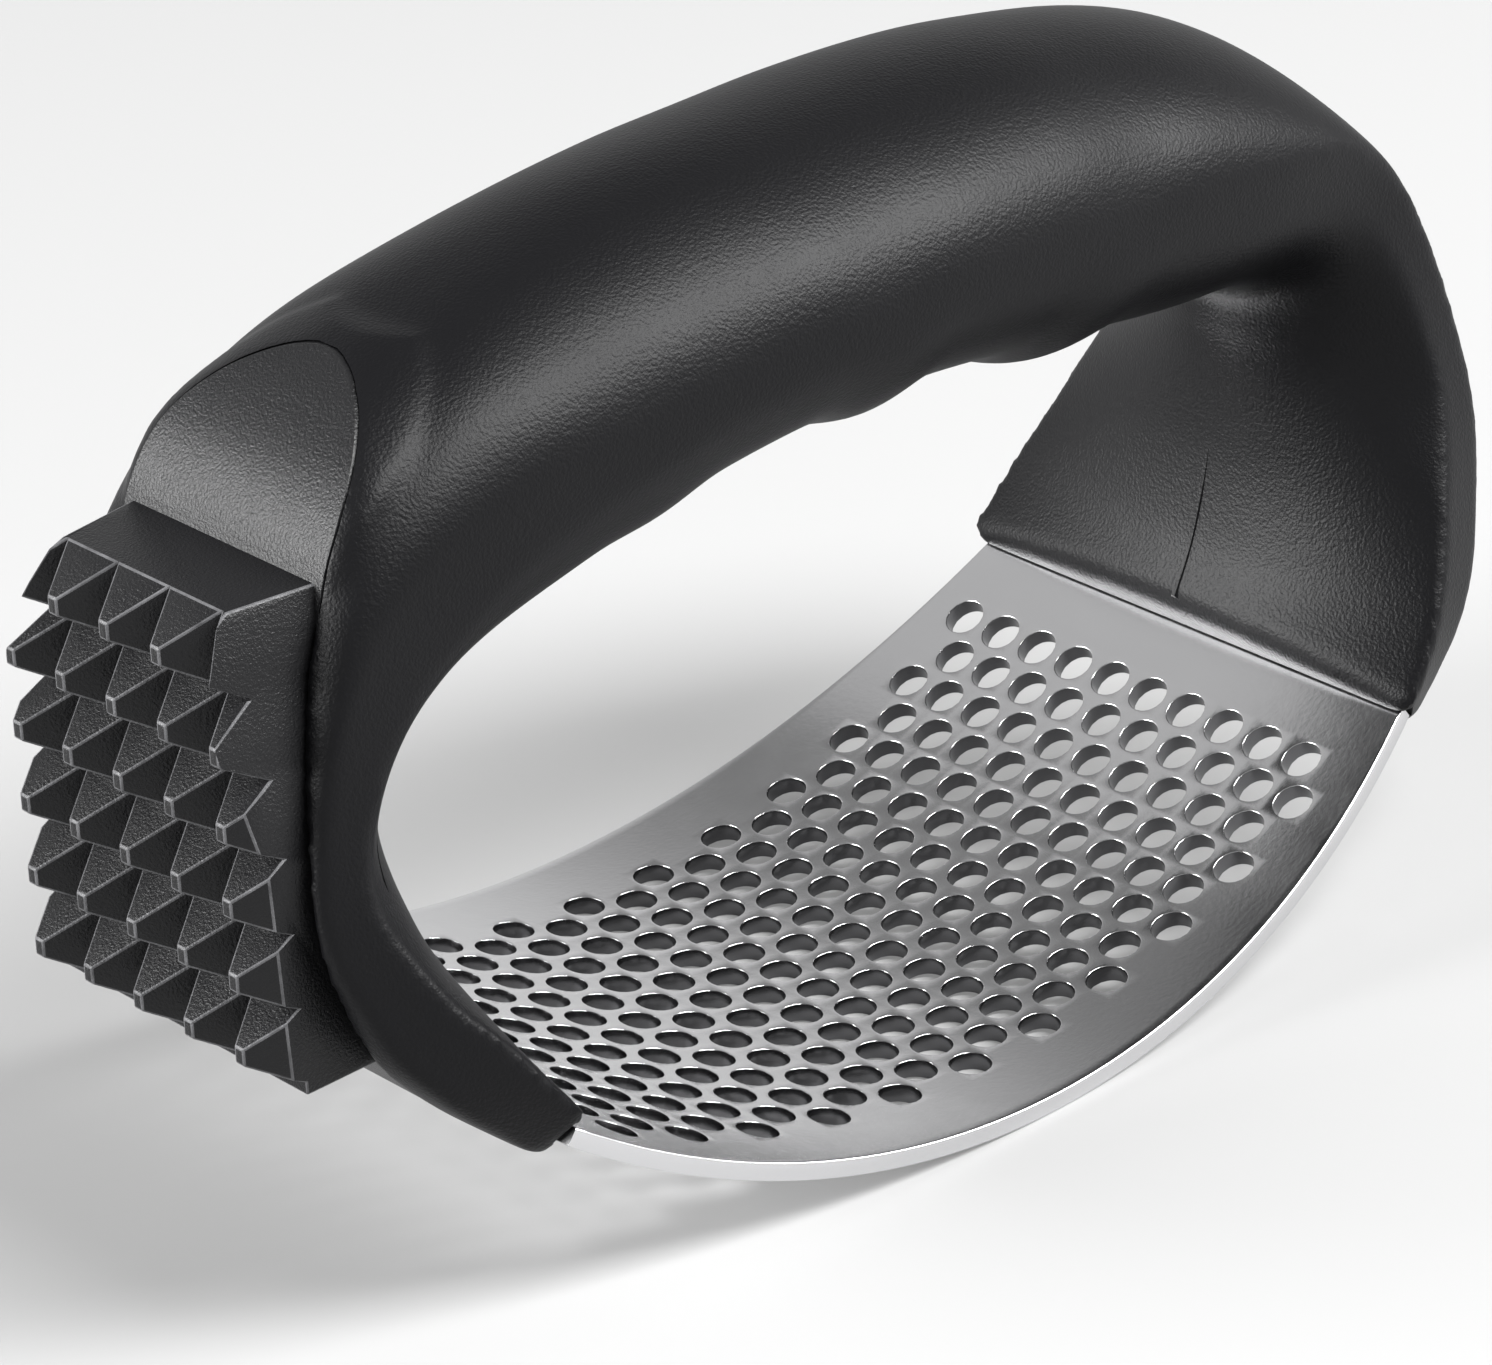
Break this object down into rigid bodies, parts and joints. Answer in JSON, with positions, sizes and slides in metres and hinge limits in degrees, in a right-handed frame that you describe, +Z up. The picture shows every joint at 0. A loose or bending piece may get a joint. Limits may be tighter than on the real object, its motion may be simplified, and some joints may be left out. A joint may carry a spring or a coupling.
{
  "type": "garlic press",
  "caption": "Rocker garlic press: an arched soft-grip handle over a curved perforated steel plate, with a block of tenderising studs on one leg.",
  "frame": {"origin": "centre of the plate's middle facet, on its underside, where the press rests on a table", "axes": "+X along the arch, away from the stud block; +Y across the plate; +Z up towards the grip"},
  "size_m": [0.1254, 0.0558, 0.0746],
  "materials": {
    "stainless_plate": "satin, polished edges",
    "soft_cover": "fine leather-like pebble grain, satin",
    "hard_head": "coarse moulded grain, smooth stud tips",
    "core_plastic": "plain moulded",
    "screw_steel": "zinc plated"
  },
  "bodies": {
    "root": {"press_plate": "stainless_plate", "soft_grip_cover": "soft_cover", "tenderizer_head": "hard_head", "front_core_half": "core_plastic", "rear_core_half": "core_plastic", "core_screw_1": "screw_steel", "core_screw_2": "screw_steel", "core_screw_3": "screw_steel", "core_screw_4": "screw_steel"}
  },
  "joints": []
}
